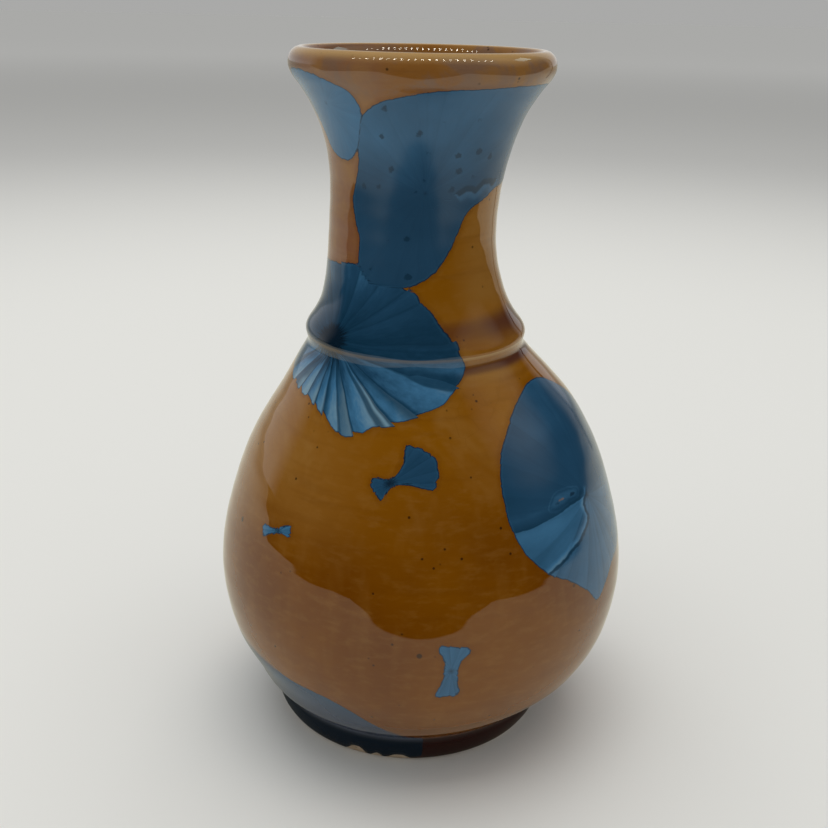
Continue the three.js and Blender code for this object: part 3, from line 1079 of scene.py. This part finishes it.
def mark_glaze(mesh):
    """Writes what the glaze recipe reads."""
    points = points_of(mesh)
    bearing, height = bearing_of(points), points[:, 2]
    radius = np.hypot(points[:, 0] - drift(height), points[:, 1])
    in_mouth = (radius < radius_at(height) - WELL_INSIDE) & (height > MOUTH_BOTTOM)
    pool_and_shade = pooled_and_shaded(bearing, np.where(in_mouth, MOUTH_POOL_HEIGHT, height))
    height = np.where(in_mouth, CLEAR_HEIGHT, height)
    depth, place, meeting, kind = crystal_fields(bearing, height)
    crack, fold = crack_fields(bearing, height)
    learned = {
        "crystal_depth": depth, "crystal_place": place, "crystal_meeting": meeting,
        "crystal_kind": kind, "side_crack": crack, "side_fold": fold, "glaze_pool_and_shade": pool_and_shade,
    }
    for name, values in learned.items():
        write_attribute(mesh, name, values)
    print("points inside crystals:", int((depth > 0).sum()), "of", len(depth))


chip_foot_edge(coat.data)
mark_glaze(coat.data)
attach(coat, "root")
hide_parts("glaze_coat")

# %% [markdown]
# ## The inside glaze
# The liner starts under the coat's inner edge and runs down to the floor. It is turned from its
# own part of the line, with its back sunk the same way.

# %% Turn the liner
liner_back = sunk(liner_face, GLAZE_THICKNESS)
liner_line = np.vstack([liner_back[::-1], liner_face])
liner = throw("liner_skin", liner_line, LINER, PLAIN_STEPS, Seed=WHEEL_SEED)
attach(liner, "root")
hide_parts("glaze_liner")

# %% [markdown]
# ## The turned foot
# When the clay was leather hard the pot went back on the wheel upside down, and a loop tool cut
# the foot ring and hollowed its underside. The tool leaves a softened standing edge, a sloped
# inner wall, and shallow rings in the recess round a small raised point.

# %% Turn the foot
recess = [(r, 2.7 + 0.13 * math.sin(r * 2.1) - 0.5 * math.exp(-(r / 1.6) ** 2))
          for r in np.arange(0.0, 22.6, 0.35)]
foot_edge = [(23.4, 2.5), (24.2, 1.9), (24.8, 0.8), (25.3, 0.2), (26.0, 0.0), (29.4, 0.0),
             (30.1, 0.25), (30.45, 0.9)]
foot_side = [(30.9, 2.2), (31.6, 4.3), (32.0, 6.6), (32.1, 7.9), (33.0, 9.2)]
foot_top = [(28.0, 9.5), (12.0, 8.4), (0.0, 8.3)]
foot_line = np.vstack([recess, smooth_line(foot_edge, 0.4), smooth_line(foot_side, 0.9), foot_top])
foot_line[:, 1] = np.maximum(foot_line[:, 1], 0.0)
foot = throw("turned_foot", foot_line, CLAY, PLAIN_STEPS, Seed=WHEEL_SEED)
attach(foot, "root")
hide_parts("foot_ring", "base_floor")

# %% [markdown]
# ## The clay inside the wall
# The clay between the two glazes can't be seen, and its frame solids have the right shape, so
# they stay as they are and get the clay finish.

# %% Dress the clay solids
for name in ("belly_wall", "shoulder_wall", "collar_ridge", "neck_wall", "lip_roll"):
    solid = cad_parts[name]
    for slot in solid.material_slots:
        slot.material = CLAY
print("clay solids dressed")

# %% [markdown]
# ## The table
# The vase stands on a pale sheet that greys a little with distance. Glossy glaze shows what
# stands round it, so what the table looks like in the glaze matters more than the table itself.
# In reflections only, the sheet ends a short way in front of the pot and at its sides, which
# gives the glaze its dark middle with a curved lower edge. A real table's edge would do the
# same, but then the camera would see it.

# %% Floor
FLOOR_SIDE = 14.0
FLOOR_NEAR = (0.84, 0.84, 0.815, 1.0)
FLOOR_GREY = (0.585, 0.585, 0.575, 1.0)
FLOOR_FAR = (0.84, 0.84, 0.83, 1.0)
FLOOR_WARMTH = (1.0, 0.98, 0.86, 1.0)
BEYOND_TABLE = (0.004, 0.004, 0.004, 1.0)


def past_the_table(r, x, y):
    """1 where the mirrored table has ended: in front, at the right or at the left."""
    rounded = r.math("SQRT", r.line(x, x, 0.0009))
    bowed = r.math("MINIMUM", r.plus(rounded, 0.12), 0.45)
    in_front = r.ramp(r.plus(y, bowed), 0.006, -0.006)
    behind = r.math("MAXIMUM", y, 0.0)
    at_right = r.ramp(r.math("SUBTRACT", x, r.line(behind, 1.2, 0.37)), -0.01, 0.01)
    at_left = r.ramp(r.math("SUBTRACT", r.times(x, -1.0), r.line(behind, 3.0, 0.46)), -0.01, 0.01)
    return r.math("MAXIMUM", in_front, r.math("MAXIMUM", at_right, at_left))


def stage_floor():
    """A wide flat sheet, paler near the pot and far away, with a band of painted shade between."""
    side = FLOOR_SIDE
    mesh = bpy.data.meshes.new("table_sheet")
    mesh.from_pydata([(-side, -side, 0), (side, -side, 0), (side, side, 0), (-side, side, 0)],
                     [], [(0, 1, 2, 3)])
    floor = bpy.data.objects.new("table_sheet", mesh)
    bpy.context.scene.collection.objects.link(floor)
    r = Recipe("table_sheet")
    flat = r.add("ShaderNodeSeparateXYZ", {0: r.place})
    x, y = flat.outputs["X"], flat.outputs["Y"]
    away = r.math("SQRT", r.line(x, x, r.times(y, y)))
    # Painted shade: the sheet greys from 0.35 m out, where the backdrop gets less light, then pales again
    # far off.
    tone = r.blend(r.ramp(away, 0.35, 1.1), FLOOR_NEAR, FLOOR_GREY)
    tone = r.blend(r.ramp(away, 1.2, 3.5), tone, FLOOR_FAR)
    mirrored = r.add("ShaderNodeLightPath").outputs["Is Glossy Ray"]
    tone = r.blend(mirrored, tone, r.blend(1.0, tone, FLOOR_WARMTH, "MULTIPLY"))
    tone = r.blend(r.times(past_the_table(r, x, y), mirrored), tone, BEYOND_TABLE)
    mesh.materials.append(r.finish(Base_Color=tone, Roughness=0.9, Specular_IOR_Level=0.0))
    print("floor side in metres:", 2 * side)


stage_floor()


# %% [markdown]
# ## The lamps
# One large soft lamp above and a fainter one at the left give the soft shadow. The glaze must
# not mirror them as hard squares, so they are hidden from glossy rays. What it does mirror is
# made apart: two rows of small bright cards overhead, a pale window card at the right, and a
# thin dark strip where two walls of the room meet. These light nothing and the camera can't
# see them.

# %% Lamps
def soft_lamp(name, place, size, power, colour=(1.0, 1.0, 1.0)):
    """A square lamp aimed at the middle of the pot."""
    lamp = bpy.data.lights.new(name, "AREA")
    lamp.shape = "SQUARE"
    lamp.size = size
    lamp.energy = power
    lamp.color = colour
    holder = bpy.data.objects.new(name, lamp)
    holder.location = place
    aim = Vector((0.0, 0.0, 0.06)) - Vector(place)
    holder.rotation_euler = aim.to_track_quat("-Z", "Y").to_euler()
    holder.visible_glossy = False
    holder.visible_camera = False
    bpy.context.scene.collection.objects.link(holder)


soft_lamp("overhead", (-0.04, 0.20, 1.45), 1.4, 11.0, colour=(1.0, 0.995, 0.975))
soft_lamp("left_fill", (-0.9, -0.35, 0.6), 0.7, 0.6)


# %% What only the glaze sees
def hang_for_glaze(name, mesh):
    """Puts a mesh in the room that shows in reflections and nowhere else."""
    holder = bpy.data.objects.new(name, mesh)
    holder.visible_camera = False
    holder.visible_diffuse = False
    holder.visible_shadow = False
    bpy.context.scene.collection.objects.link(holder)


def glowing_cards(name, cards, colour, strength):
    """Glowing cards that face the mouth. Each is a centre, a half width and a half height."""
    corners = []
    for centre, wide, tall in cards:
        away = (Vector(centre) - Vector((0.0, 0.0, 0.15))).normalized()
        across = Vector((0.0, 0.0, 1.0)).cross(away).normalized()
        upward = away.cross(across)
        corners += [tuple(Vector(centre) + across * wide * u + upward * tall * v)
                    for u, v in ((-1, -1), (1, -1), (1, 1), (-1, 1))]
    mesh = bpy.data.meshes.new(name)
    mesh.from_pydata(corners, [], [tuple(range(i, i + 4)) for i in range(0, len(corners), 4)])
    material = bpy.data.materials.new(name)
    material.use_nodes = True
    material.node_tree.nodes.clear()
    bench = Bench(material.node_tree)
    light = bench.add("ShaderNodeEmission", {"Color": colour, "Strength": strength})
    bench.feed(bench.add("ShaderNodeOutputMaterial").inputs["Surface"], light)
    mesh.materials.append(material)
    hang_for_glaze(name, mesh)


BEAD_HEIGHT = 0.60
BEAD_HALF_WIDTH = 0.0045
BEAD_HALF_LENGTH = 0.010
BEAD_ROWS = [(15, 0.24, -0.19, 1.3), (21, 0.40, -0.26, 1.1)]
beads = [((x, ahead + bow_in * x * x, BEAD_HEIGHT), BEAD_HALF_WIDTH, BEAD_HALF_LENGTH)
         for count, reach, ahead, bow_in in BEAD_ROWS for x in np.linspace(-reach, reach, count)]
glowing_cards("bead_lamps", beads, (1.0, 0.93, 0.80, 1.0), 45.0)
glowing_cards("side_window", [((0.50, 0.22, 0.56), 0.10, 0.06)], (0.80, 1.0, 0.95, 1.0), 2.2)


def room_corner():
    """The dark seam at the room's far right corner, a thin line in the glaze."""
    mesh = bpy.data.meshes.new("room_corner")
    left, right, tall = (0.295, 0.345), (0.307, 0.335), 0.7
    mesh.from_pydata([(*left, 0.0), (*right, 0.0), (*right, tall), (*left, tall)],
                     [], [(0, 1, 2, 3)])
    r = Recipe("room_corner")
    mesh.materials.append(r.finish(Base_Color=(0.01, 0.01, 0.01, 1.0), Roughness=1.0,
                                   Specular_IOR_Level=0.0))
    hang_for_glaze("room_corner", mesh)


room_corner()
print("cards in the glaze:", len(beads) + 1)


# %% [markdown]
# ## The room
# The world is the room's walls. To the glaze it is a pale wall behind that fades upwards, a
# dark room in front and a warm glow high at the right. For soft light it is a grey that is a
# little paler above, and for the camera an even grey, so the backdrop stays plain.

# %% The room as the glaze mirrors it
WALL_BRIGHTNESS = 0.70
DARK_ROOM = 0.006
GLOW_DIRECTION = (0.787, -0.027, 0.616)
BACKDROP = 0.40


def room():
    """The world's nodes: one look for the glaze, one for soft light and one for the camera."""
    world = bpy.data.worlds.new("room")
    bpy.context.scene.world = world
    world.use_nodes = True
    bench = Bench(world.node_tree)
    world.node_tree.nodes.clear()
    direction = bench.add("ShaderNodeTexCoord").outputs[0]
    look = bench.add("ShaderNodeSeparateXYZ", {0: direction})
    turned = bench.line(look.outputs["X"], -0.306, look.outputs["Y"])
    to_back = bench.add("ShaderNodeMapRange", {
        "Value": turned, "From Min": 0.42, "From Max": 0.62}).outputs[0]
    wall_fade = bench.add("ShaderNodeMapRange", {
        "Value": look.outputs["Z"], "From Min": 0.05, "From Max": 0.75,
        "To Min": 1.0, "To Max": 0.12}).outputs[0]
    wall = bench.times(to_back, wall_fade)
    mirrored = bench.line(wall, WALL_BRIGHTNESS, DARK_ROOM)
    toward = bench.add("ShaderNodeVectorMath", {0: direction, 1: GLOW_DIRECTION},
                       operation="DOT_PRODUCT")
    glow = bench.add("ShaderNodeMapRange", {
        "Value": toward.outputs["Value"], "From Min": 0.87, "From Max": 0.995}).outputs[0]
    glow = bench.math("POWER", glow, 1.5)
    mirrored = bench.line(glow, 0.75, mirrored)
    path = bench.add("ShaderNodeLightPath")
    soft = bench.line(look.outputs["Z"], 0.10, 0.41)
    level = bench.add("ShaderNodeMix", {0: path.outputs["Is Glossy Ray"], 2: soft, 3: mirrored})
    seen = bench.add("ShaderNodeMix", {0: path.outputs["Is Camera Ray"], 2: level, 3: BACKDROP})
    warm = bench.add("ShaderNodeMix", data_type="RGBA")
    bench.feed(warm.inputs["Factor"], bench.times(glow, path.outputs["Is Glossy Ray"]))
    bench.feed(warm.inputs[6], (1.0, 1.0, 0.985, 1.0))
    bench.feed(warm.inputs[7], (1.0, 0.72, 0.38, 1.0))
    background = bench.add("ShaderNodeBackground", {"Color": warm.outputs[2], "Strength": seen})
    output = bench.add("ShaderNodeOutputWorld")
    bench.feed(output.inputs["Surface"], background)
    print("room nodes:", len(world.node_tree.nodes))


room()

# %% [markdown]
# ## The camera
# The picture is taken from close by and above, so the foot is seen from well over it and the
# mouth almost edge on. Its place is given in heights of the vase, its tilt and roll in degrees
# and its lens in millimetres.

# %% Camera
CAMERA_PLACE = (-0.0153, -1.475, 1.0516)
TILT_DOWN = 21.31
ROLL = 1.25
LENS = 45.57
tall = CAD_BOX[1][2] - CAD_BOX[0][2]
camera_data = bpy.data.cameras.new("camera")
camera_data.sensor_width = 36.0
camera_data.lens = LENS
camera_data.clip_start = 0.01
camera = bpy.data.objects.new("camera", camera_data)
camera.location = [share * tall for share in CAMERA_PLACE]
camera.rotation_euler = (math.radians(90 - TILT_DOWN), 0.0, 0.0)
camera.rotation_euler.rotate_axis("Z", math.radians(ROLL))
bpy.context.scene.collection.objects.link(camera)
bpy.context.scene.camera = camera
bpy.context.scene.view_settings.view_transform = "Standard"
print("camera at", [round(v, 4) for v in camera.location])
